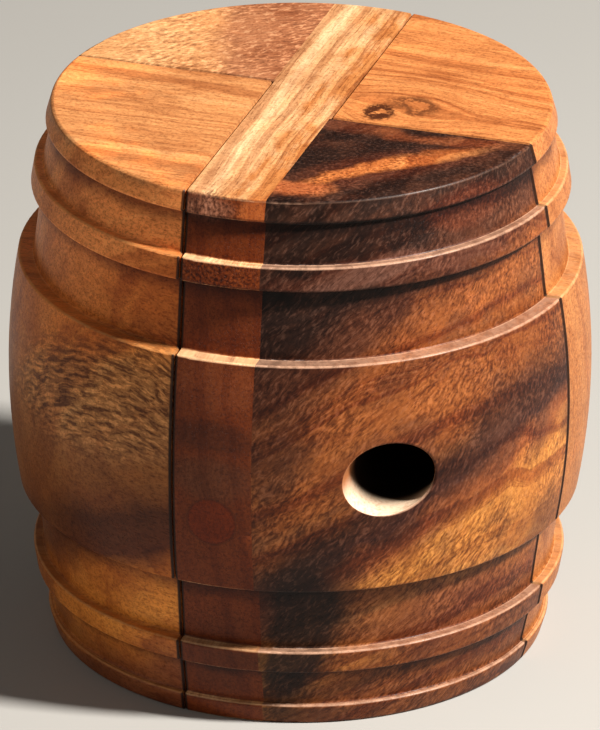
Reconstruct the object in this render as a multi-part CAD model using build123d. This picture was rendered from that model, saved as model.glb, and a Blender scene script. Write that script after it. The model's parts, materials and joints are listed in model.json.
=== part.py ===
"""A turned wooden barrel puzzle box, in millimetres.

Three glued blocks make a fixed core that is Z-shaped in plan: a centre board, a front right block and
a back left block. Two large blocks, front left and back right, slide out of it the opposite ways on
dovetail runners, and each holds a small compartment that is open towards the centre board. A loose
steel rod in the centre board pushes two steel balls into the sliding blocks when the barrel is tipped
back, and lets them drop out of the way when it is tipped forward.

Frame: the origin is the middle of the flat bottom, +Z is up, -Y is the front and +X is right.
The design repeats after half a turn about Z, apart from the lock rod and its plug.
"""
from build123d import *
from math import cos, radians, sqrt, tan
import os

# Turned outline: each band's radius at its upper and lower edge, in the top half.
HEIGHT = 126.0
BELLY_RADIUS = 65.0
RIM_TOP_RADIUS, RIM_BOTTOM_RADIUS = 55.2, 56.6
UPPER_NECK_TOP_RADIUS, UPPER_NECK_BOTTOM_RADIUS = 55.1, 57.0
HOOP_TOP_RADIUS, HOOP_BOTTOM_RADIUS = 58.9, 59.8
LOWER_NECK_TOP_RADIUS, LOWER_NECK_BOTTOM_RADIUS = 57.2, 59.2
BELLY_EDGE_RADIUS = 62.6
RIM_DEPTH = 4.9
UPPER_NECK_DEPTH = 9.3
HOOP_DEPTH = 5.4
LOWER_NECK_DEPTH = 16.2
RIM_ROUND = 0.9
BAND_ROUND = 0.6
NECK_ROUND = 0.5

# Plan of the blocks.
BOARD_THICKNESS = 18.0
CROSS_SEAM_OFFSET = 8.0
SLIDE_GAP = 0.3
EASED_EDGE = 0.35

# Finger bores, parallel to the centre board.
FINGER_BORE_RADIUS = 8.5
FINGER_BORE_X = 36.5
FINGER_BORE_Z = 63.0
FINGER_MOUTH_ROUND = 0.5

# Sliding blocks: compartment and dovetail runners.
SLIDE_TRAVEL = 45.0
POCKET_DEPTH_X = 34.0
POCKET_Y = (-46.0, -12.0)
POCKET_Z = (40.0, 86.0)
POCKET_ROUND = 6.0
RUNNER_OFFSET_Z = 27.0
RUNNER_LENGTH = 13.0
RUNNER_Y = -2.0
RUNNER_SEAT_WIDTH = 11.0
RUNNER_SEAT_DEPTH = 3.0
GROOVE_DEPTH = 5.0
GROOVE_MOUTH = 7.6
GROOVE_FLOOR = 10.6
RUNNER_CLEARANCE = 0.3
ENTRY_LENGTH = 15.0
END_CLEARANCE = 0.4

# Screws that hold the runners.
SCREW_SPACING = 8.0
SCREW_RADIUS = 1.5
SCREW_HEAD_RADIUS = 2.6
SCREW_HEAD_HEIGHT = 1.6
SCREW_LENGTH = 14.0
SCREW_SOCKET_RADIUS = 0.8
SCREW_SOCKET_DEPTH = 0.9
SCREW_HOLE_CLEARANCE = 0.1
SCREW_HEAD_CLEARANCE = 0.2

# Tilt lock: rod, balls, cages and sockets.
LOCK_Z = 52.5
PLUG_RADIUS = 5.5
PLUG_LENGTH = 12.0
ROD_BORE_RADIUS = 5.2
ROD_RADIUS = 5.1
ROD_LENGTH = 80.0
ROD_WAIST_RADIUS = 2.6
ROD_WAIST_END = 4.0
ROD_CONE_ANGLE = 25.0
ROD_END_CHAMFER = 0.8
BALL_RADIUS = 3.0
BALL_REST_X = 5.7
BALL_TRAVEL = 2.5
BALL_CONE_GAP = 0.1
CAGE_RADIUS = 4.5
CAGE_INNER_X = 5.3
CAGE_BORE_RADIUS = 3.1
CAGE_LIP_RADIUS = 2.97
CAGE_LIP_DEPTH = 0.2
SOCKET_RADIUS = 5.0
SOCKET_DEPTH = 3.5
SOCKET_CUP_RADIUS = 3.5
SOCKET_CUP_DEPTH = 2.5

# Glue dowels between the centre board and the fixed blocks.
DOWEL_RADIUS = 4.0
DOWEL_IN_BOARD = 6.0
DOWEL_IN_BLOCK = 14.0
DOWEL_END_CHAMFER = 0.6
DOWEL_Y = (-22.0, -42.0)
DOWEL_OFFSET_Z = 41.0

# Keeper magnets across the cross seams.
MAGNET_RADIUS = 4.0
MAGNET_THICKNESS = 3.0
MAGNET_X = 30.0
MAGNET_OFFSET_Z = 38.0

MIDDLE_Z = HEIGHT / 2
HALF_BOARD = BOARD_THICKNESS / 2
REACH = 2 * BELLY_RADIUS
HALF_TURN = Rot(0, 0, 180)
ROD_TRAVEL = BALL_TRAVEL / tan(radians(ROD_CONE_ANGLE))
SLIDE_FACE_X = -HALF_BOARD - SLIDE_GAP
SLIDE_BACK_Y = CROSS_SEAM_OFFSET - SLIDE_GAP / 2
FIXED_FRONT_Y = CROSS_SEAM_OFFSET + SLIDE_GAP / 2
RUNNER_FRONT_Y = RUNNER_Y - RUNNER_LENGTH / 2
RUNNER_BACK_Y = RUNNER_Y + RUNNER_LENGTH / 2
SCREW_TOP_X = -HALF_BOARD + GROOVE_DEPTH - END_CLEARANCE - SCREW_HEAD_CLEARANCE


def box_between(x, y, z):
    """A box from its two limits along each axis."""
    size = [high - low for low, high in (x, y, z)]
    middle = [(low + high) / 2 for low, high in (x, y, z)]
    return Pos(*middle) * Box(*size)


def bar_along_x(radius, start, end, y=0.0, z=0.0):
    """A round bar parallel to X from one x to another."""
    return Pos((start + end) / 2, y, z) * Rot(0, 90, 0) * Cylinder(radius, abs(end - start))


def bar_along_y(radius, start, end, x=0.0, z=0.0):
    """A round bar parallel to Y from one y to another."""
    return Pos(x, (start + end) / 2, z) * Rot(90, 0, 0) * Cylinder(radius, abs(end - start))


def barrel():
    """The whole turned outline as one solid, with its bands' edges rounded."""
    rim_z = MIDDLE_Z - RIM_DEPTH
    hoop_top_z = rim_z - UPPER_NECK_DEPTH
    hoop_bottom_z = hoop_top_z - HOOP_DEPTH
    belly_z = hoop_bottom_z - LOWER_NECK_DEPTH
    outer = [(HOOP_TOP_RADIUS, hoop_top_z), (HOOP_BOTTOM_RADIUS, hoop_bottom_z),
             (RIM_BOTTOM_RADIUS, rim_z), (BELLY_EDGE_RADIUS, belly_z)]
    inner = [(UPPER_NECK_TOP_RADIUS, rim_z), (UPPER_NECK_BOTTOM_RADIUS, hoop_top_z),
             (LOWER_NECK_TOP_RADIUS, hoop_bottom_z), (LOWER_NECK_BOTTOM_RADIUS, belly_z)]
    rim = [(RIM_TOP_RADIUS, MIDDLE_Z)]
    half = [rim[0], outer[2], inner[0], inner[1], outer[0], outer[1], inner[2], inner[3], outer[3]]
    lower_half = [(radius, -height) for radius, height in reversed(half)]
    lower = Polyline((0, -MIDDLE_Z), *reversed(lower_half))
    belly = ThreePointArc(lower_half[0], (BELLY_RADIUS, 0), half[-1])
    upper = Polyline(*reversed(half), (0, MIDDLE_Z), (0, -MIDDLE_Z))
    face = make_face([lower, belly, upper])
    for corners, size in ((outer, BAND_ROUND), (inner, NECK_ROUND), (rim, RIM_ROUND)):
        places = [Vector(r, side * z) for r, z in corners for side in (1, -1)]
        picked = [v for v in face.vertices() if any((Vector(v) - p).length < 1e-4 for p in places)]
        face = fillet(picked, size)
    return Pos(0, 0, MIDDLE_Z) * revolve(Plane.XZ * face, Axis.Z)


def eased(block, on_seam):
    """The block with a small chamfer on the edges that on_seam picks."""
    return chamfer([edge for edge in block.edges() if on_seam(edge.bounding_box())], EASED_EDGE)


def lies_at(low, high, place):
    """Whether both limits are at one place, so that an edge lies in that plane."""
    return abs(low - place) < 1e-3 and abs(high - place) < 1e-3


def sliding_blank():
    """The front left block before machining, with its seam edges eased."""
    space = box_between((-REACH, SLIDE_FACE_X), (-REACH, SLIDE_BACK_Y), (0, HEIGHT))

    def on_seam(box):
        at_side = lies_at(box.min.X, box.max.X, SLIDE_FACE_X)
        at_back = lies_at(box.min.Y, box.max.Y, SLIDE_BACK_Y)
        return at_side or at_back

    return eased(barrel() & space, on_seam)


def fixed_blank():
    """The Z-shaped core before it is divided at its two glue lines."""
    space = box_between((-REACH, -HALF_BOARD), (-REACH, FIXED_FRONT_Y), (-1, HEIGHT + 1))

    def on_seam(box):
        at_side = [lies_at(box.min.X, box.max.X, x) for x in (-HALF_BOARD, HALF_BOARD)]
        at_cross = [lies_at(box.min.Y, box.max.Y, y) for y in (-FIXED_FRONT_Y, FIXED_FRONT_Y)]
        return any(at_side) != any(at_cross)

    return eased(barrel() - space - HALF_TURN * space, on_seam)


def finger_bore():
    """The tool that bores the front right block from its turned front to the sliding block."""
    return bar_along_y(FINGER_BORE_RADIUS, -REACH, 0, FINGER_BORE_X, FINGER_BORE_Z)


def runner_heights():
    """The heights of the upper and lower runners."""
    return {"upper": MIDDLE_Z + RUNNER_OFFSET_Z, "lower": MIDDLE_Z - RUNNER_OFFSET_Z}


def groove_half_width(depth):
    """Half the dovetail groove's width at a depth below the board's face."""
    return (GROOVE_MOUTH + (GROOVE_FLOOR - GROOVE_MOUTH) * depth / GROOVE_DEPTH) / 2


def dovetail(z, first_depth, last_depth, inset, start_y, end_y):
    """A dovetail prism along Y in the board's left face, narrowed by an inset on each flank."""
    near_x, far_x = -HALF_BOARD + first_depth, -HALF_BOARD + last_depth
    near = groove_half_width(first_depth) - inset
    far = groove_half_width(last_depth) - inset
    outline = Polyline((near_x, -near), (near_x, near), (far_x, far), (far_x, -far), close=True)
    prism = extrude(Plane.XZ * make_face(outline), start_y - end_y)
    return Pos(0, start_y, z) * prism


def groove_cuts():
    """Both runner grooves in the board's left face, each with a wide pocket to enter it."""
    front_y = RUNNER_FRONT_Y - SLIDE_TRAVEL - END_CLEARANCE
    back_y = RUNNER_BACK_Y + END_CLEARANCE
    cuts = []
    for z in runner_heights().values():
        cuts.append(dovetail(z, -SLIDE_GAP, GROOVE_DEPTH, 0, front_y, back_y))
        half = GROOVE_FLOOR / 2 + RUNNER_CLEARANCE
        cuts.append(box_between((-HALF_BOARD - SLIDE_GAP, -HALF_BOARD + GROOVE_DEPTH),
                                (back_y - 1, back_y + ENTRY_LENGTH), (z - half, z + half)))
    return cuts


def screw_places(z):
    """The two screw centres, as (y, z), of the runner at one height."""
    return [(RUNNER_Y + side * SCREW_SPACING / 2, z) for side in (-1, 1)]


def runner(z):
    """A hardwood dovetail key, let into the sliding block and bored for its two screws."""
    flank = RUNNER_CLEARANCE * sqrt(1 + ((GROOVE_FLOOR - GROOVE_MOUTH) / 2 / GROOVE_DEPTH) ** 2)
    floor = GROOVE_DEPTH - END_CLEARANCE
    body = dovetail(z, -SLIDE_GAP, floor, flank, RUNNER_FRONT_Y, RUNNER_BACK_Y)
    body += runner_seat(z)
    for y, screw_z in screw_places(z):
        body -= bar_along_x(SCREW_RADIUS + SCREW_HOLE_CLEARANCE, -REACH, 0, y, screw_z)
        seat_x = SCREW_TOP_X - SCREW_HEAD_HEIGHT
        body -= bar_along_x(SCREW_HEAD_RADIUS + SCREW_HEAD_CLEARANCE, seat_x, 0, y, screw_z)
    return body


def runner_seat(z):
    """The rectangular foot of a runner, and the housing that takes it."""
    half = RUNNER_SEAT_WIDTH / 2
    return box_between((SLIDE_FACE_X - RUNNER_SEAT_DEPTH, SLIDE_FACE_X),
                       (RUNNER_FRONT_Y, RUNNER_BACK_Y), (z - half, z + half))


def screw(y, z):
    """A small pan head wood screw with a hexagon socket, pointing into the left block."""
    neck_x = SCREW_TOP_X - SCREW_HEAD_HEIGHT
    head = bar_along_x(SCREW_HEAD_RADIUS, neck_x, SCREW_TOP_X, y, z)
    shank = bar_along_x(SCREW_RADIUS, neck_x - SCREW_LENGTH, neck_x, y, z)
    socket = extrude(RegularPolygon(SCREW_SOCKET_RADIUS, 6), SCREW_SOCKET_DEPTH)
    return head + shank - Pos(SCREW_TOP_X, y, z) * Rot(0, -90, 0) * socket


def runner_screws():
    """All the screws of the left block's runners."""
    places = [place for z in runner_heights().values() for place in screw_places(z)]
    return Compound([screw(y, z).solid() for y, z in places])


def compartment():
    """The tool that mills the compartment into the left block's inner face."""
    width, height = POCKET_Y[1] - POCKET_Y[0], POCKET_Z[1] - POCKET_Z[0]
    outline = Plane.YZ * RectangleRounded(width, height, POCKET_ROUND)
    tool = extrude(outline, POCKET_DEPTH_X)
    return Pos(-POCKET_DEPTH_X, sum(POCKET_Y) / 2, sum(POCKET_Z) / 2) * tool


def magnets(start_y):
    """The pair of magnet discs set into one side of the left cross seam."""
    heights = [MIDDLE_Z + side * MAGNET_OFFSET_Z for side in (1, -1)]
    discs = [bar_along_y(MAGNET_RADIUS, start_y, start_y + MAGNET_THICKNESS, -MAGNET_X, z)
             for z in heights]
    return Compound([disc.solid() for disc in discs])


def ball_socket():
    """A brass cup in the left block's inner face, which the left ball locks into."""
    cup = bar_along_x(SOCKET_RADIUS, SLIDE_FACE_X - SOCKET_DEPTH, SLIDE_FACE_X, 0, LOCK_Z)
    hollow = bar_along_x(SOCKET_CUP_RADIUS, SLIDE_FACE_X - SOCKET_CUP_DEPTH, 0, 0, LOCK_Z)
    return cup - hollow


def sliding_block():
    """The front left block: a turned block with its compartment, housings and holes."""
    block = sliding_blank() - compartment()
    for z in runner_heights().values():
        block -= runner_seat(z)
        for y, screw_z in screw_places(z):
            end_x = SCREW_TOP_X - SCREW_HEAD_HEIGHT - SCREW_LENGTH
            block -= bar_along_x(SCREW_RADIUS, end_x, 0, y, screw_z)
    block -= bar_along_x(SOCKET_RADIUS, SLIDE_FACE_X - SOCKET_DEPTH, 0, 0, LOCK_Z)
    block -= magnets(SLIDE_BACK_Y - MAGNET_THICKNESS)
    return block


def dowels(inset=0.0):
    """The glue dowels that join the front right block to the centre board."""
    start_x, end_x = HALF_BOARD - DOWEL_IN_BOARD, HALF_BOARD + DOWEL_IN_BLOCK
    places = [(y, MIDDLE_Z + side * DOWEL_OFFSET_Z) for y in DOWEL_Y for side in (1, -1)]
    bars = []
    for y, z in places:
        bar = bar_along_x(DOWEL_RADIUS, start_x, end_x, y, z)
        if inset:
            bar = chamfer(bar.edges().filter_by(GeomType.CIRCLE), inset)
        bars.append(bar.solid())
    return Compound(bars)


def in_finger_mouth(box):
    """Whether an edge's box lies within the finger bore, at its turned end."""
    reach = FINGER_BORE_RADIUS + 0.1
    beside = max(abs(box.min.X - FINGER_BORE_X), abs(box.max.X - FINGER_BORE_X)) < reach
    level = max(abs(box.min.Z - FINGER_BORE_Z), abs(box.max.Z - FINGER_BORE_Z)) < reach
    return beside and level and box.max.Y < -BELLY_RADIUS / 2


def front_right_block(core):
    """The glued block beside the centre board, with its finger bore."""
    block = core & box_between((HALF_BOARD, REACH), (-REACH, 0), (-1, HEIGHT + 1))
    block -= finger_bore()
    mouth = [edge for edge in block.edges() if in_finger_mouth(edge.bounding_box())]
    block = fillet(mouth, FINGER_MOUTH_ROUND)
    block -= dowels()
    block -= HALF_TURN * magnets(FIXED_FRONT_Y)
    return block


def rod_ends():
    """The y of the lock rod's front and back ends, as it lies at the front of its bore."""
    front_y = -lock_bore_front() + END_CLEARANCE
    return front_y, front_y + ROD_LENGTH


def lock_bore_front():
    """How far in front of the axis the rod's bore begins, behind its plug."""
    return BELLY_RADIUS - PLUG_LENGTH - END_CLEARANCE


def plug_bore():
    """The tool that bores the seat of the plug."""
    return bar_along_y(PLUG_RADIUS, -REACH, -lock_bore_front(), 0, LOCK_Z)


def lock_plug():
    """The plug that closes the rod's bore, turned flush with the belly."""
    return plug_bore() & barrel()


def ball_cage():
    """A brass bush in the board's left face, with a lip that keeps the ball in."""
    bush = bar_along_x(CAGE_RADIUS, -HALF_BOARD, -CAGE_INNER_X, 0, LOCK_Z)
    bore = bar_along_x(CAGE_BORE_RADIUS, -HALF_BOARD + CAGE_LIP_DEPTH, 0, 0, LOCK_Z)
    lip = bar_along_x(CAGE_LIP_RADIUS, -REACH, 0, 0, LOCK_Z)
    return bush - bore - lip


def centre_board(core):
    """The board through the middle, bored for the lock and grooved for the runners."""
    board = core & box_between((-HALF_BOARD, HALF_BOARD), (-REACH, REACH), (-1, HEIGHT + 1))
    bore_end = rod_ends()[1] + ROD_TRAVEL + END_CLEARANCE
    board -= plug_bore() + bar_along_y(ROD_BORE_RADIUS, -BELLY_RADIUS, bore_end, 0, LOCK_Z)
    board -= bar_along_x(CAGE_BORE_RADIUS, -HALF_BOARD, HALF_BOARD, 0, LOCK_Z)
    cage_seat = bar_along_x(CAGE_RADIUS, -REACH, -CAGE_INNER_X, 0, LOCK_Z)
    for cut in [cage_seat, *groove_cuts(), HALF_TURN * dowels()]:
        board = board - cut - HALF_TURN * cut
    return board


def lock_rod():
    """The steel rod: a full front part, a cone down to a waist, and a full back part."""
    slope = tan(radians(ROD_CONE_ANGLE))
    reach = (BALL_RADIUS + BALL_CONE_GAP) / cos(radians(ROD_CONE_ANGLE))
    foot_y = (BALL_REST_X - ROD_WAIST_RADIUS - reach) / slope
    cone_y = foot_y - (ROD_RADIUS - ROD_WAIST_RADIUS) / slope
    front_y, back_y = rod_ends()
    nose = ROD_RADIUS - ROD_END_CHAMFER
    outline = Polyline(
        (0, front_y), (nose, front_y), (ROD_RADIUS, front_y + ROD_END_CHAMFER),
        (ROD_RADIUS, cone_y), (ROD_WAIST_RADIUS, foot_y),
        (ROD_WAIST_RADIUS, ROD_WAIST_END), (ROD_RADIUS, ROD_WAIST_END),
        (ROD_RADIUS, back_y - ROD_END_CHAMFER), (nose, back_y), (0, back_y), close=True)
    return Pos(0, 0, LOCK_Z) * revolve(make_face(outline), Axis.Y)


def ball():
    """The left lock ball, dropped against the rod's waist."""
    return Pos(-BALL_REST_X, 0, LOCK_Z) * Sphere(BALL_RADIUS)


def model():
    """Every node's shape, by name."""
    core = fixed_blank()
    parts = {
        "centre_board": centre_board(core),
        "lock_bore_plug": lock_plug(),
        "lock_rod": lock_rod(),
    }
    paired = {
        ("back_left_block", "front_right_block"): HALF_TURN * front_right_block(core),
        ("rear_block_dowels", "front_block_dowels"): HALF_TURN * dowels(DOWEL_END_CHAMFER),
        ("rear_block_magnets", "front_block_magnets"): magnets(FIXED_FRONT_Y),
        ("left_ball_cage", "right_ball_cage"): ball_cage(),
        ("left_ball", "right_ball"): ball(),
        ("front_left_block", "back_right_block"): sliding_block(),
        ("left_runner_screws", "right_runner_screws"): runner_screws(),
        ("left_ball_socket", "right_ball_socket"): ball_socket(),
        ("left_block_magnets", "right_block_magnets"): magnets(SLIDE_BACK_Y - MAGNET_THICKNESS),
    }
    for level, z in runner_heights().items():
        paired[f"left_{level}_runner", f"right_{level}_runner"] = runner(z)
    for (left, right), shape in paired.items():
        parts[left] = shape
        parts[right] = HALF_TURN * shape
    return parts


os.makedirs("parts", exist_ok=True)
for node, shape in model().items():
    export_step(shape, f"parts/{node}.step")
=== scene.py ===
"""A turned wooden barrel puzzle box on a pale floor. Lengths are in metres unless a name says mm."""
import json
import math
import bpy
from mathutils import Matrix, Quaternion, Vector


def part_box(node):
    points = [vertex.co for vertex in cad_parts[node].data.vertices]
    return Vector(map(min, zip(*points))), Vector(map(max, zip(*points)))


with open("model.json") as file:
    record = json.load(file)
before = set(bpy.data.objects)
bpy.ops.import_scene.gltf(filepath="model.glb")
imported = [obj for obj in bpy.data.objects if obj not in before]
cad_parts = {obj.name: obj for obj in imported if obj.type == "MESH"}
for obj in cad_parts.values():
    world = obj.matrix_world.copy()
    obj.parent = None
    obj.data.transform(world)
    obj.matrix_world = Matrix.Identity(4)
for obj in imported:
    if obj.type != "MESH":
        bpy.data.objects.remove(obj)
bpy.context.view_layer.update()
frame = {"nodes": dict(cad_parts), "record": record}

MM = 0.001

# The barrel's own features, in millimetres: where a cross seam lies either side of the middle, the
# finger bores' radius, each step's lower edge with the depth of painted shade below it, and the
# height of each step that looks up.
CROSS_SEAM_Y = 8.0
BORE_RADIUS = 8.5
PAINTED_SHADE_UNDER_STEPS = ((121.1, 5.0), (106.4, 5.5), (35.8, 6.0), (14.2, 3.6))
LEDGES = (111.8, 90.2, 19.6, 4.9)
# how far beside a joint face the dark finish and painted shade reach, in millimetres
SEAM_DIRT_AND_SHADE_MM = 0.8

# Colours that several woods share.
# the dark of glue lines, also used for the dark finish with painted shade beside the joints
DIRT_AND_SHADE = "1c0b06"
KNOT_EYE = "48220f"
RAW_WOOD = "e8cdb0"
RAW_STREAK = "cfa888"
# painted shade inside a bore: tan in its upper half, nearly black deep inside
BORE_PAINTED_SHADE_TAN = "a0643e"
BORE_PAINTED_SHADOW = "120a06"

# What each mark multiplies the wood's red, green and blue by.
MOTTLE_DARK = (0.76, 0.66, 0.60)
MOTTLE_LIGHT = (1.12, 1.08, 1.04)
LATE_BAND = (0.55, 0.38, 0.30)
EARLY_BAND = (1.15, 1.30, 1.45)
DARK_FIBRE = (0.74, 0.66, 0.62)
DARK_DASH = (0.40, 0.32, 0.30)
LIGHT_DASH = (1.75, 1.85, 1.95)
SPECKLE = (0.70, 0.64, 0.60)
PORE = (0.78, 0.72, 0.66)
# painted shade: what the turned wall just below each step is multiplied by
PAINTED_SHADE_BELOW_STEP = (0.22, 0.16, 0.15)

# The view and the studio.
AZIMUTH, ELEVATION, ROLL = math.radians(17.2), math.radians(25.2), math.radians(0.38)
DISTANCE = 1.924
LENS_MM = 425.0
SENSOR_MM = 36.0
CLIP_END = 20.0
AIM_HEIGHT = 0.0613
FLOOR_HALF = 6.0
FLOOR_COLOUR = "a9a7a3"
FLOOR_ROUGHNESS = 0.8
WORLD_COLOUR = (1.0, 0.93, 0.85, 1.0)
WORLD_STRENGTH = 0.10


def tint(text):
    """An opaque linear colour from a six digit sRGB one."""
    channels = [int(text[start:start + 2], 16) / 255 for start in (0, 2, 4)]
    return [c / 12.92 if c < 0.04045 else ((c + 0.055) / 1.055) ** 2.4 for c in channels] + [1]


class Shader:
    """A material whose nodes are added and joined in one call each."""

    def __init__(self, name):
        self.material = bpy.data.materials.new(name)
        self.material.use_nodes = True
        self.tree = self.material.node_tree
        self.tree.nodes.clear()
        self.output = self.tree.nodes.new("ShaderNodeOutputMaterial")
        coordinates = self.tree.nodes.new("ShaderNodeTexCoord").outputs
        self.place = self.vector("SCALE", coordinates["Object"], scale=1 / MM)
        self.normal = coordinates["Normal"]

    def feed(self, socket, value):
        """Links a socket to another, or sets it to a plain value."""
        if isinstance(value, bpy.types.NodeSocket):
            self.tree.links.new(value, socket)
        else:
            socket.default_value = value

    def add(self, kind, settings=None, **inputs):
        """A node with these settings and inputs; an input's spaces are written as underscores."""
        node = self.tree.nodes.new("ShaderNode" + kind)
        for name, value in (settings or {}).items():
            setattr(node, name, value)
        for name, value in inputs.items():
            self.feed(node.inputs[name.replace("_", " ")], value)
        return node

    def vector(self, operation, first, second=None, scale=None):
        """A vector operation."""
        node = self.add("VectorMath", {"operation": operation})
        self.feed(node.inputs[0], first)
        if second is not None:
            self.feed(node.inputs[1], second)
        if scale is not None:
            self.feed(node.inputs["Scale"], scale)
        return node.outputs["Value" if operation in ("LENGTH", "DOT_PRODUCT") else "Vector"]

    def math(self, operation, first, second=0.0, clamp=False):
        """A number operation."""
        node = self.add("Math", {"operation": operation, "use_clamp": clamp})
        self.feed(node.inputs[0], first)
        self.feed(node.inputs[1], second)
        return node.outputs["Value"]

    def step(self, value, low, high, smooth=True):
        """0 below low and 1 above high, or the other way round if low is the greater."""
        node = self.add("MapRange", {"interpolation_type": "SMOOTHSTEP" if smooth else "LINEAR"})
        ends = ((low, 0.0), (high, 1.0)) if low < high else ((high, 1.0), (low, 0.0))
        (least, at_least), (most, at_most) = ends
        for socket, number in zip(node.inputs, (value, least, most, at_least, at_most)):
            self.feed(socket, number)
        return node.outputs["Result"]

    def noise(self, place, scale=1.0, detail=2.0, roughness=0.5, dimensions="3D"):
        """Noise at a place in millimetres, from about 0.2 to 0.8."""
        node = self.add("TexNoise", {"noise_dimensions": dimensions}, Scale=scale, Detail=detail,
                        Roughness=roughness)
        self.feed(node.inputs["W" if dimensions == "1D" else "Vector"], place)
        return node

    def mix(self, factor, first, second, blend="MIX"):
        """A colour mix."""
        node = self.add("Mix", {"data_type": "RGBA", "blend_type": blend})
        for socket, value in zip((node.inputs[0], node.inputs[6], node.inputs[7]),
                                 (factor, first, second)):
            self.feed(socket, value)
        return node.outputs[2]

    def ramp(self, value, *stops):
        """A colour ramp through (position, sRGB text) stops."""
        node = self.add("ValToRGB", Fac=value)
        elements = node.color_ramp.elements
        while len(elements) < len(stops):
            elements.new(0.5)
        for element, (position, text) in zip(elements, stops):
            element.position = position
            element.color = tint(text)
        return node.outputs["Color"]

    def finish(self, colour, roughness, height=None, height_mm=0.1, **surface):
        """The surface shader, with bump from a height map."""
        shader = self.add("BsdfPrincipled", Base_Color=colour, Roughness=roughness, **surface)
        if height is not None:
            bump = self.add("Bump", Height=height, Strength=1.0, Distance=height_mm * MM)
            self.feed(shader.inputs["Normal"], bump.outputs["Normal"])
        self.feed(self.output.inputs["Surface"], shader.outputs["BSDF"])
        return self.material


def aligned(direction):
    """The turn that brings a grain direction onto X, as an Euler rotation."""
    turn = Vector(direction).normalized().rotation_difference(Vector((1, 0, 0)))
    return turn.to_euler()


def stretched(shader, place, direction, length, width):
    """A place measured in streaks of this length and width in millimetres along a direction."""
    turned = shader.add("Mapping", Vector=place, Rotation=aligned(direction)).outputs["Vector"]
    return shader.vector("DIVIDE", turned, Vector((length, width, width)))


def patch(shader, place, centre, radii, direction=(1, 0, 0)):
    """A soft ellipsoid, 1 in the middle and 0 outside, with its first radius along a direction."""
    moved = shader.vector("SUBTRACT", place, Vector(centre))
    turned = shader.add("Mapping", Vector=moved, Rotation=aligned(direction)).outputs["Vector"]
    scaled = shader.vector("DIVIDE", turned, Vector(radii))
    return shader.step(shader.vector("LENGTH", scaled), 1.0, 0.45)


def warped(shader, place, amount, size, seed):
    """The place pushed about by noise of this size, both in millimetres."""
    moved = shader.vector("ADD", place, Vector((seed * 37.0, seed * 53.0, seed * 71.0)))
    push = shader.noise(moved, scale=1 / size, detail=2.0).outputs["Color"]
    centred = shader.vector("SUBTRACT", push, Vector((0.5, 0.5, 0.5)))
    return shader.vector("ADD", place, shader.vector("SCALE", centred, scale=2.0 * amount))


def bent(shader, place, middle_x, amount):
    """The place with z raised by the square of the distance from middle_x: streaks fan out."""
    parts = shader.add("SeparateXYZ", Vector=place).outputs
    from_middle = shader.math("SUBTRACT", parts["X"], middle_x)
    rise = shader.math("MULTIPLY", shader.math("MULTIPLY", from_middle, from_middle), amount)
    return shader.add("CombineXYZ", X=parts["X"], Y=parts["Y"],
                      Z=shader.math("ADD", parts["Z"], rise)).outputs["Vector"]


def layered(shader, place, direction, stops):
    """Colours laid one after another along a direction, at distances in millimetres."""
    first, last = stops[0][0], stops[-1][0]
    depth = shader.vector("DOT_PRODUCT", place, Vector(direction))
    share = shader.step(depth, first, last, smooth=False)
    return shader.ramp(share, *[((at - first) / (last - first), text) for at, text in stops])


def shaded(shader, colour, amount, factors):
    """The colour where amount is 0, and the colour times three factors where it is 1."""
    return shader.mix(amount, colour, shader.vector("MULTIPLY", colour, Vector(factors)))


def product(shader, *values):
    """The product of numbers or number sockets."""
    total = values[0]
    for value in values[1:]:
        total = shader.math("MULTIPLY", total, value)
    return total


def around_knot(shader, place, x, y, radius_x, radius_y, hollow, strength):
    """The place with its streaks pushed apart round an upright knot, and the knot's soft dark eye.

    hollow is the share of the radius where the eye's middle is pale.
    """
    off = shader.vector("MULTIPLY", shader.vector("SUBTRACT", place, Vector((x, y, 0))),
                        Vector((1 / radius_x, 1 / radius_y, 0.0)))
    distance = shader.vector("LENGTH", off)
    pull = shader.math("MULTIPLY", shader.step(distance, 2.6, 0.4), -0.5 * radius_y)
    moved = shader.vector("ADD", place, shader.vector("SCALE", off, scale=pull))
    blotch = shader.noise(shader.place, scale=0.4, detail=4.0, roughness=0.7).outputs["Fac"]
    uneven = shader.math("MULTIPLY", shader.math("SUBTRACT", blotch, 0.5), 1.5)
    ragged = shader.math("ADD", distance, uneven)
    disc = shader.step(ragged, 1.15, 0.75)
    middle = shader.step(ragged, hollow + 0.15, hollow - 0.1)
    ring = shader.math("SUBTRACT", disc, middle, clamp=True)
    return moved, product(shader, ring, shader.step(blotch, 0.33, 0.50), strength)


def height_of(shader):
    """The height above the base in millimetres."""
    return shader.add("SeparateXYZ", Vector=shader.place).outputs["Z"]


def from_axis(shader):
    """The distance in millimetres from the barrel's own axis."""
    return shader.vector("LENGTH", shader.vector("MULTIPLY", shader.place, Vector((1, 1, 0))))


def from_bore(shader, centre):
    """The distance in millimetres from an axis along Y through a centre's x and z."""
    off = shader.vector("SUBTRACT", shader.place, Vector((centre[0], 0, centre[1])))
    return shader.vector("LENGTH", shader.vector("MULTIPLY", off, Vector((1, 0, 1))))


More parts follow.
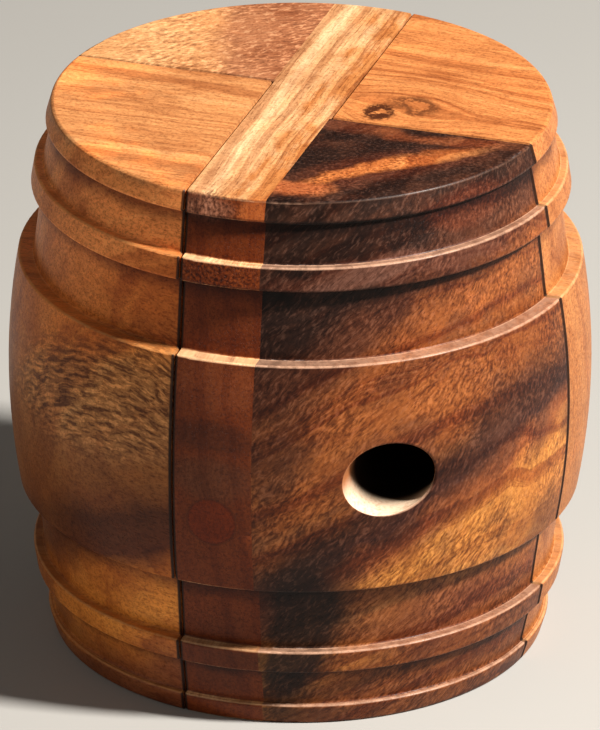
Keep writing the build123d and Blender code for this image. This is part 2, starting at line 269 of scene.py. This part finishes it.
def seam_dirt_and_shade(shader, seams):
    """Dark finish with painted shade on the turned edges beside a block's flat joint faces.

    Each seam is an axis, its place in millimetres and a side: 1 for a seam that ends at the front
    cross seam, -1 for one that ends at the rear cross seam, and 0 for a whole one. The joint faces
    themselves and the flat top are left without it.
    """
    place = shader.add("SeparateXYZ", Vector=shader.place).outputs
    normal = shader.add("SeparateXYZ", Vector=shader.normal).outputs
    dirt_and_shade = 0.0
    for axis, at, side in seams:
        beside = shader.math("ABSOLUTE", shader.math("SUBTRACT", place[axis], at))
        off_face = shader.step(shader.math("ABSOLUTE", normal[axis]), 0.97, 0.85)
        open_part = shader.step(shader.math("MULTIPLY", place["Y"], side), -CROSS_SEAM_Y - 0.2,
                                -CROSS_SEAM_Y + 0.2)
        dirt_and_shade = shader.math("MAXIMUM", dirt_and_shade, product(
            shader, shader.step(beside, SEAM_DIRT_AND_SHADE_MM, 0.5 * SEAM_DIRT_AND_SHADE_MM), off_face, open_part))
    return shader.math("MULTIPLY", dirt_and_shade, shader.step(normal["Z"], 0.85, 0.5))


def painted_highlight_steps(shader):
    """The turned steps and rounded edges that look up, below the flat top, where a highlight is
    painted.

    The painted highlight is kept off the inner corner of each step, just above its ledge, which stays
    as dark as the wall.
    """
    upward = shader.add("SeparateXYZ", Vector=shader.normal).outputs["Z"]
    height = height_of(shader)
    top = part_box("centre_board")[1].z / MM
    # noise that breaks up the painted highlight
    highlight_breakup = shader.noise(shader.place, scale=0.25, detail=4.0, roughness=0.7).outputs["Fac"]
    share = shader.math("ADD", 0.5, shader.math("MULTIPLY", shader.step(highlight_breakup, 0.36, 0.60), 0.5))
    nose = shader.math("SUBTRACT", 1.0, shader.math("MULTIPLY", shader.step(upward, 0.95, 1.0), 0.4))
    for ledge in LEDGES:
        corner = product(shader, shader.step(height, ledge + 0.02, ledge + 0.1),
                         shader.step(height, ledge + 0.8, ledge + 0.6))
        share = shader.math("MULTIPLY", share, shader.math("SUBTRACT", 1.0, corner))
    return product(shader, shader.step(upward, 0.25, 0.7), shader.step(height, top - 0.2, top - 1.0),
                   share, nose)


def painted_shade_below_steps(shader):
    """Painted shade on the turned wall, just below each step that stands out."""
    height = height_of(shader)
    blotch = shader.noise(shader.place, scale=1 / 9.0, detail=4.0, roughness=0.6).outputs["Fac"]
    wavy = shader.math("ADD", height, shader.math("MULTIPLY", blotch, 4.0))
    dark = 0.0
    for edge, depth in PAINTED_SHADE_UNDER_STEPS:
        under = shader.step(height, edge + 0.1, edge - 0.3)
        fade = shader.step(wavy, edge - depth + 2.0, edge + 1.6)
        dark = shader.math("MAXIMUM", dark, product(shader, under, fade))
    return product(shader, dark, shader.step(from_axis(shader), 51.0, 54.0))


def clouded(shader, colour, place, grain, clouds):
    """The colour with another in soft irregular areas along the grain."""
    cloud_colour, strength = clouds
    cloud = shader.noise(stretched(shader, place, grain, 16.0, 7.0), detail=5.0,
                         roughness=0.6).outputs["Fac"]
    share = product(shader, shader.step(cloud, 0.44, 0.62), strength)
    return shader.mix(share, colour, tint(cloud_colour))


def mottled(shader, colour, place):
    """The colour a little darker and lighter in areas a centimetre or two across."""
    mottle = shader.noise(stretched(shader, place, (1, 0, 0), 22.0, 11.0), detail=4.0,
                          roughness=0.6).outputs["Fac"]
    colour = shaded(shader, colour, shader.step(mottle, 0.50, 0.72), MOTTLE_DARK)
    return shaded(shader, colour, shader.step(mottle, 0.50, 0.32), MOTTLE_LIGHT)


def banded(shader, colour, place, grain, across, bands, side_share, seed):
    """The colour with dark late and pale early growth bands that wander along the grain."""
    band_mm, band_depth = bands
    wander = shader.noise(stretched(shader, place, grain, 90.0, 14.0), detail=3.0).outputs["Fac"]
    band_place = shader.vector("DOT_PRODUCT", place, Vector(across).normalized())
    band_sum = shader.math("ADD", shader.math("DIVIDE", band_place, band_mm),
                           shader.math("MULTIPLY", wander, 1.6))
    band = shader.noise(shader.math("ADD", band_sum, seed * 11.3), detail=5.0, roughness=0.65,
                        dimensions="1D").outputs["Fac"]
    late = product(shader, shader.step(band, 0.49, 0.62), side_share, band_depth)
    early = product(shader, shader.step(band, 0.46, 0.34), side_share, band_depth)
    colour = shaded(shader, colour, late, LATE_BAND)
    return shaded(shader, colour, early, EARLY_BAND)


def dashed(shader, colour, dash, torn, depth, figures, flecks):
    """The colour with dark and light dashes, stronger inside each figure, and pale flecks."""
    clumps = shader.noise(shader.place, scale=1 / 14.0, detail=3.0).outputs["Fac"]
    presence = shader.math("MULTIPLY", shader.step(clumps, 0.25, 0.62), depth)
    for centre, radii, along in figures:
        presence = shader.math("MAXIMUM", presence, patch(shader, torn, centre, radii, along))
    dark = shader.math("MULTIPLY", shader.step(dash, 0.50, 0.36), presence)
    light = shader.math("MULTIPLY", shader.step(dash, 0.50, 0.64), presence)
    colour = shaded(shader, colour, dark, DARK_DASH)
    colour = shaded(shader, colour, light, LIGHT_DASH)
    if flecks:
        fleck_colour, strength = flecks
        lightest = product(shader, shader.step(dash, 0.55, 0.66), strength)
        colour = shader.mix(lightest, colour, tint(fleck_colour))
    return colour


def painted_highlight_at_steps(shader, colour, painted_highlight, low_painted_highlight):
    """The colour with a painted highlight of its own colour on the edges that catch light."""
    highlight_colour, strength = painted_highlight
    upper = shader.math("MAXIMUM", shader.step(height_of(shader), 25.0, 60.0), low_painted_highlight)
    share = product(shader, painted_highlight_steps(shader), strength, upper)
    return shader.mix(share, colour, tint(highlight_colour))


def bored(shader, colour, streak, bore):
    """The colour with raw wood inside a bore, and painted shade there: tan in its upper half and dark
    deep inside.
    """
    inside = shader.step(from_bore(shader, bore), BORE_RADIUS + 0.15, BORE_RADIUS + 0.05)
    raw = shader.mix(streak, tint(RAW_WOOD), tint(RAW_STREAK))
    middle = bore[1]
    # painted shade: tan in the bore's upper half, then dark deep inside
    raw = shader.mix(shader.step(height_of(shader), middle - 5.0, middle + 1.0), raw, tint(BORE_PAINTED_SHADE_TAN))
    raw = shader.mix(shader.step(from_axis(shader), 63.0, 56.5), raw, tint(BORE_PAINTED_SHADOW))
    return shader.mix(inside, colour, raw)


def ringed(shader, colour, ring):
    """The colour with the dark glue line round a plug."""
    x, z, radius, strength = ring
    beside = shader.math("ABSOLUTE", shader.math("SUBTRACT", from_bore(shader, (x, z)), radius))
    share = product(shader, shader.step(beside, 0.6, 0.1), strength)
    return shader.mix(share, colour, tint(DIRT_AND_SHADE))


def hardwood(name, grain, seed, layers, across=(0, 1, 0.4), bands=(9.0, 0.5), ripple=None,
             figures=(), flecks=None, clouds=None, patches=(), ends=("8a5630", 0.5), knots=(),
             seams=(), bend=None, tear=1.0, painted_highlight=None, low_painted_highlight=1.0, bore=None, ring=None):
    """Oiled figured hardwood as a solid texture, with all its sizes in millimetres.

    grain is the way the fibres run; across is the way the growth bands follow each other, and bands
    is their width and strength. layers is a direction and the colours laid along it. ripple is the
    direction, length, width and strength of the short wavy dashes where interlocked fibres are cut,
    and bend the x about which they fan out and how much; each of figures is an ellipsoid where they
    are stronger still, and flecks is the colour and strength of the lightest of them. clouds is a
    colour in soft irregular areas, each of patches a colour over an ellipsoid, and tear is how
    ragged their edges are. ends is the colour of end grain and how much of it shows. worn is a
    highlight painted on the edges that catch light, its colour and strength, and
    low_painted_highlight the share of it left on the lower steps. Each of knots is an upright eye,
    bore the x and z of a raw bore along Y with painted shade inside, and ring the x, z, radius and
    strength of a plug's outline.
    """
    shader = Shader(name)
    place = warped(shader, shader.place, 1.8, 40.0, seed)
    eyes = []
    for knot in knots:
        place, eye = around_knot(shader, place, *knot)
        eyes.append(eye)
    torn = warped(shader, warped(shader, shader.place, 6.0 * tear, 34.0, seed + 5), 2.5 * tear, 7.0,
                  seed + 9)

    colour = layered(shader, torn, *layers)
    if clouds:
        colour = clouded(shader, colour, place, grain, clouds)
    facing = shader.vector("DOT_PRODUCT", shader.normal, Vector(grain).normalized())
    end_share = shader.step(shader.math("MULTIPLY", facing, facing), 0.15, 0.85)
    end_colour, end_strength = ends
    colour = shader.mix(shader.math("MULTIPLY", end_share, end_strength), colour, tint(end_colour))
    for text, centre, radii, direction, strength in patches:
        near = patch(shader, torn, centre, radii, direction)
        colour = shader.mix(shader.math("MULTIPLY", near, strength), colour, tint(text))
    colour = mottled(shader, colour, place)

    side_share = shader.math("SUBTRACT", 1.0, shader.math("MULTIPLY", end_share, 0.4))
    colour = banded(shader, colour, place, grain, across, bands, side_share, seed)
    fibre = shader.noise(stretched(shader, place, grain, 26.0, 0.7), detail=3.0,
                         roughness=0.6).outputs["Fac"]
    streak = shader.step(fibre, 0.45, 0.72)
    colour = shaded(shader, colour, streak, DARK_FIBRE)

    direction, length, width, depth = ripple or (grain, 4.0, 0.9, 0.25)
    wavy = warped(shader, bent(shader, place, *bend) if bend else place, 1.2, 6.0, seed + 3)
    dash = shader.noise(stretched(shader, wavy, direction, length, width), detail=2.0,
                        roughness=0.55).outputs["Fac"]
    colour = dashed(shader, colour, dash, torn, depth, figures, flecks)

    speckle = shader.noise(shader.place, scale=1.3, detail=2.0, roughness=0.7).outputs["Fac"]
    colour = shaded(shader, colour, shader.step(speckle, 0.45, 0.70), SPECKLE)
    pores = shader.step(shader.noise(stretched(shader, place, grain, 5.0, 0.3), detail=1.0)
                        .outputs["Fac"], 0.60, 0.68)
    colour = shaded(shader, colour, pores, PORE)
    for eye in eyes:
        colour = shader.mix(eye, colour, tint(KNOT_EYE))
    # painted shade on the turned wall just below each step
    colour = shaded(shader, colour, shader.math("MULTIPLY", painted_shade_below_steps(shader), 0.9), PAINTED_SHADE_BELOW_STEP)
    # a painted highlight on the steps and rounded edges that look up, weaker on the lower steps
    if painted_highlight:
        colour = painted_highlight_at_steps(shader, colour, painted_highlight, low_painted_highlight)
    # raw wood in the bore, with painted shade in its upper half and deep inside
    if bore:
        colour = bored(shader, colour, streak, bore)
    if ring:
        colour = ringed(shader, colour, ring)
    # dark finish and painted shade beside the joint faces
    if seams:
        colour = shader.mix(product(shader, seam_dirt_and_shade(shader, seams), 0.95), colour, tint(DIRT_AND_SHADE))

    rough = shader.math("ADD", 0.40, shader.math("MULTIPLY", shader.math("ADD", pores, fibre), 0.10))
    uneven = shader.noise(shader.place, scale=1 / 7.0, detail=2.0).outputs["Fac"]
    fine = shader.math("SUBTRACT", shader.math("MULTIPLY", dash, 0.5), pores)
    fine = shader.math("ADD", shader.math("MULTIPLY", fibre, 0.35), fine)
    height = shader.math("ADD", shader.math("MULTIPLY", uneven, 2.5), fine)
    return shader.finish(colour, rough, height, 0.06, Coat_Weight=0.05, Coat_Roughness=0.22,
                         Specular_IOR_Level=0.15)


def joint_faces(node, *faces):
    """The seams of a block: each face is an axis, 0 or 1 for its lower or upper limit, and a side."""
    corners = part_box(node)
    return [(axis, corners[limit]["XYZ".index(axis)] / MM, side) for axis, limit, side in faces]


def middle_of(node):
    """The x and z of a node's middle, in millimetres."""
    low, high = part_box(node)
    return (low.x + high.x) / 2 / MM, (low.z + high.z) / 2 / MM


def opening_axis(name):
    """The x and z of the middle of one of the record's openings, in millimetres."""
    openings = frame["record"]["physics"]["openings"]
    low, high = next(opening["box_m"] for opening in openings if opening["name"] == name)
    return (low[0] + high[0]) / 2 / MM, (low[2] + high[2]) / 2 / MM


def plug_outline(strength):
    """The x, z and radius of the plug in millimetres, and how dark its glue line is."""
    low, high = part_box("lock_bore_plug")
    return (*middle_of("lock_bore_plug"), (high.x - low.x) / 2 / MM, strength)


def board_wood():
    """Pale along its length, with dark lines near its right edge, and red-brown at its ends."""
    return hardwood("board_wood", (0, 1, 0.02), 1.0,
                    ((1, 0, 0.02), [(-9, "cf9864"), (-3, "deac7c"), (2.5, "d49b66"), (5.0, "b56f3a"),
                                    (6.5, "cc8e58"), (9, "c07a42")]),
                    across=(1, 0, 0.1), bands=(3.5, 0.6), ripple=((0, 1, 0), 12.0, 0.7, 0.15),
                    clouds=("e9bd8c", 0.5), tear=0.2, ends=("6e3010", 1.0),
                    painted_highlight=("e6b88c", 0.85), low_painted_highlight=0.45,
                    patches=[("96644c", (-4, -57, 123), (8, 8, 4), (1, 0, 0), 0.7),
                             ("b8602c", (7, -57, 123), (5, 8, 4), (1, 0, 0), 0.8),
                             ("7e3e1e", (0, -63, 85), (14, 10, 8), (1, 0, 0), 0.8),
                             ("3c1c10", (0, -64, 73), (14, 10, 5), (1, 0, 0), 0.5),
                             ("5c3824", (0, -64, 63), (14, 10, 7), (1, 0, 0), 0.5),
                             ("46200f", (0, -60, 16), (14, 10, 16), (1, 0, 0), 0.5)],
                    figures=[((-3, -57, 123.5), (9, 8, 5), (1, 0, 0)),
                             ((0, -60, 109), (13, 8, 5), (1, 0, 0))],
                    ring=plug_outline(0.3),
                    seams=joint_faces("centre_board", ("X", 0, -1), ("X", 1, 1)))


def dark_wood():
    """Nearly black above, with one orange streak on top, and brown and gold below."""
    return hardwood("dark_wood", (0.63, 0.44, 0.63), 2.0,
                    ((-0.8, 0.05, 1.0),
                     [(-45, "6e3c1c"), (-18, "7a4220"), (-4, "a8682f"), (7, "c07c38"), (14, "8a4a24"),
                      (20, "3a1b12"), (26, "42200f"), (35, "844820"), (50, "8c4e24"), (60, "8a4c24"),
                      (68, "542a16"), (80, "2a1710"), (118, "24140e")]),
                    across=(-0.65, 0.3, 1.0), bands=(6.0, 0.9),
                    ripple=((0.55, 0.25, 0.8), 2.3, 0.65, 0.8), flecks=("7a5646", 0.17),
                    clouds=("543020", 0.45), ends=("6b381c", 0.1), painted_highlight=("c0957a", 0.8),
                    patches=[("5a2c1a", (28.5, -31, 126), (34, 10, 5), (0.73, 0.69, 0), 0.8),
                             ("d07f42", (28.5, -31, 126), (30, 4.6, 5), (0.73, 0.69, 0), 0.95),
                             ("b8683a", (13, -47, 126), (12, 4.5, 5), (1, 0.1, 0), 0.9),
                             ("8a4a28", (34, -11, 126), (24, 5, 5), (1, 0.05, 0), 0.75),
                             ("6a3822", (15, -12, 126), (10, 5, 5), (1, 0, 0), 0.7),
                             ("3e2014", (13, -62, 72), (22, 24, 9), (0.15, 0, 1), 0.6),
                             ("5e2c18", (46, -30, 119), (16, 14, 6), (1, 0.6, 0), 0.8),
                             ("6e4434", (30, -48, 109.3), (50, 30, 3.5), (1, 0.6, 0), 0.55),
                             ("6a3622", (30, -48, 27), (50, 30, 12), (1, 0.6, 0), 0.7),
                             # painted shade: a near-black patch low on the front, beside the board
                             ("22110b", (18, -58, 24), (34, 24, 13), (0.25, 0, 1), 0.95)],
                    bore=opening_axis("front_finger_bore"),
                    seams=joint_faces("front_right_block", ("Y", 1, 0)))


def figured_wood():
    """Mottled all over, pinkish brown beside the board and paler outside."""
    return hardwood("figured_wood", (1, 0.5, 0.1), 3.0,
                    ((1, 0.3, 0), [(-60, "d0925a"), (-34, "dca26c"), (-22, "d0925e"), (-16, "b0744e"),
                                   (-5, "ac6e4a")]),
                    bands=(12.0, 0.2), ripple=((0.6, 0.8, 0.2), 2.2, 1.0, 0.55),
                    flecks=("e8b688", 0.3), ends=("8a5630", 0.3), painted_highlight=("e8b688", 0.5),
                    bore=opening_axis("rear_finger_bore"),
                    seams=joint_faces("back_left_block", ("Y", 0, 0)))


def warm_wood():
    """Straight streaks on top; on its side a feather figure above a darker foot."""
    return hardwood("warm_wood", (1, 0.04, -0.03), 4.0,
                    ((-0.4, 0, 1.0),
                     [(4, "7e4426"), (15, "8a4c2a"), (23, "c4742f"), (30, "dc8836"), (40, "c2702c"),
                      (46, "5e2c14"), (56, "4e240f"), (62, "7c441e"), (68, "8e5528"), (76, "9a6238"),
                      (92, "b46c30"), (104, "e08238"), (113, "e6853e"), (120, "fc9a52"),
                      (150, "ffa45e")]),
                    across=(0.03, 1, 0.25), bands=(9.0, 0.6),
                    ripple=((0.87, -0.5, -0.1), 5.5, 0.9, 0.12),
                    bend=(-20.0, 0.012), ends=("b06a30", 0.4), painted_highlight=("d2965c", 0.6),
                    patches=[("ae7846", (-26, -56, 75), (44, 30, 15), (0.87, -0.5, 0.3), 0.7),
                             ("cc8a54", (-30, -20, 128), (90, 90, 5), (1, 0, 0), 1.0)],
                    figures=[((-26, -56, 76), (48, 30, 18), (0.87, -0.5, 0.3))],
                    seams=joint_faces("front_left_block", ("X", 1, 0), ("Y", 1, 0)))


def golden_wood():
    """Straight orange streaks that part round a pair of small knots near its inner corner."""
    return hardwood("golden_wood", (1, -0.1, 0.05), 5.0,
                    ((0, 0.1, 1.0), [(0, "9a5826"), (40, "a86630"), (100, "b4703a"), (120, "bb7440"),
                                     (126, "ca8048")]),
                    across=(0.1, 1, 0.3), bands=(8.0, 0.65), ripple=((1, 0, 0.1), 7.0, 1.1, 0.2),
                    ends=("ae7040", 0.4), painted_highlight=("dca878", 0.6),
                    seams=joint_faces("back_right_block", ("X", 0, 0), ("Y", 0, 0)),
                    knots=[(17.6, -1.8, 3.9, 5.2, 0.25, 1.0), (24.0, 3.6, 6.2, 5.4, 0.5, 0.75),
                           (22.0, 2.0, 11.0, 9.5, 0.84, 0.4)])


def plug_wood():
    """The same red-brown as the board's ends, a little redder."""
    return hardwood("plug_wood", (0, 1, 0), 6.0,
                    ((1, 0, 0), [(-6, "6a2412"), (6, "722813")]),
                    across=(1, 0, 0.3), bands=(3.0, 0.2), ends=("722a07", 0.9),
                    ring=plug_outline(0.3))


def pale_wood(name, grain, seed):
    """Plain maple or beech, for the inner pieces."""
    return hardwood(name, grain, seed, ((0, 0, 1), [(0, "c8a06c"), (126, "d6b07e")]),
                    bands=(4.0, 0.25), ripple=(grain, 5.0, 0.9, 0.1), ends=("b88c58", 0.5))


def metal(name, text, roughness, marks):
    """Turned or plated metal with fine marks."""
    shader = Shader(name)
    along = stretched(shader, shader.place, marks, 12.0, 0.12)
    grain = shader.noise(along, detail=2.0).outputs["Fac"]
    smudge = shader.noise(shader.place, scale=0.35, detail=3.0).outputs["Fac"]
    colour = shader.mix(shader.step(smudge, 0.3, 0.75), tint(text),
                        shader.mix(0.35, tint(text), tint("6b6258"), "MULTIPLY"))
    rough = shader.math("ADD", roughness, shader.math("MULTIPLY", grain, 0.14))
    return shader.finish(colour, rough, grain, 0.01, Metallic=1.0)


MATERIALS = {
    "board_wood": board_wood(),
    "dark_wood": dark_wood(),
    "figured_wood": figured_wood(),
    "warm_wood": warm_wood(),
    "golden_wood": golden_wood(),
    "plug_wood": plug_wood(),
    "dowel_wood": pale_wood("dowel_wood", (1, 0, 0), 7.0),
    "runner_wood": pale_wood("runner_wood", (0, 1, 0), 8.0),
    "steel": metal("steel", "c9cbce", 0.16, (0, 0, 1)),
    "screw_metal": metal("screw_metal", "c79a4c", 0.25, (0, 1, 0)),
    "bush_brass": metal("bush_brass", "cfa04e", 0.22, (0, 1, 0)),
    "magnet_nickel": metal("magnet_nickel", "b9b8b4", 0.2, (1, 0, 0)),
}

for entry in frame["record"]["subparts"]:
    mesh = frame["nodes"][entry["node"]].data
    mesh.materials.clear()
    mesh.materials.append(MATERIALS[entry["material_slot"]])


def direction_at(azimuth, elevation):
    """The unit vector from the object towards an azimuth and elevation in radians."""
    return Vector((math.sin(azimuth) * math.cos(elevation), -math.cos(azimuth) * math.cos(elevation),
                   math.sin(elevation)))


def add_camera():
    """The camera, a long lens aimed at the barrel's axis."""
    data = bpy.data.cameras.new("camera")
    data.lens = LENS_MM
    data.sensor_width = SENSOR_MM
    data.clip_end = CLIP_END
    camera = bpy.data.objects.new("camera", data)
    bpy.context.scene.collection.objects.link(camera)
    away = direction_at(AZIMUTH, ELEVATION)
    camera.location = Vector((0, 0, AIM_HEIGHT)) + away * DISTANCE
    camera.rotation_mode = "QUATERNION"
    camera.rotation_quaternion = Quaternion(away, ROLL) @ (-away).to_track_quat("-Z", "Y")
    bpy.context.scene.camera = camera


def add_light(name, azimuth, elevation, distance, size, power, colour):
    """A square soft light aimed at the middle of the barrel, its direction in degrees."""
    data = bpy.data.lights.new(name, "AREA")
    data.size = size
    data.energy = power
    data.color = colour
    light = bpy.data.objects.new(name, data)
    bpy.context.scene.collection.objects.link(light)
    away = direction_at(math.radians(azimuth), math.radians(elevation))
    light.location = Vector((0, 0, AIM_HEIGHT)) + away * distance
    light.rotation_mode = "QUATERNION"
    light.rotation_quaternion = (-away).to_track_quat("-Z", "Y")


def add_floor():
    """A plain pale floor, left out of the object itself."""
    mesh = bpy.data.meshes.new("floor")
    half = FLOOR_HALF
    mesh.from_pydata([(-half, -half, 0), (half, -half, 0), (half, half, 0), (-half, half, 0)], [],
                     [(0, 1, 2, 3)])
    floor = bpy.data.objects.new("floor", mesh)
    bpy.context.scene.collection.objects.link(floor)
    shader = Shader("floor")
    mesh.materials.append(shader.finish(tint(FLOOR_COLOUR), FLOOR_ROUGHNESS))


def add_world():
    """Weak warm light from all round."""
    world = bpy.data.worlds.new("studio")
    world.use_nodes = True
    background = world.node_tree.nodes["Background"]
    background.inputs["Color"].default_value = WORLD_COLOUR
    background.inputs["Strength"].default_value = WORLD_STRENGTH
    bpy.context.scene.world = world


add_camera()
add_light("key", azimuth=84, elevation=47, distance=1.3, size=0.12, power=42.0,
          colour=(1.0, 0.96, 0.9))
add_light("fill", azimuth=-35, elevation=30, distance=1.5, size=1.0, power=2.5,
          colour=(1.0, 0.93, 0.86))
add_floor()
add_world()
bpy.context.scene.view_settings.view_transform = "Standard"
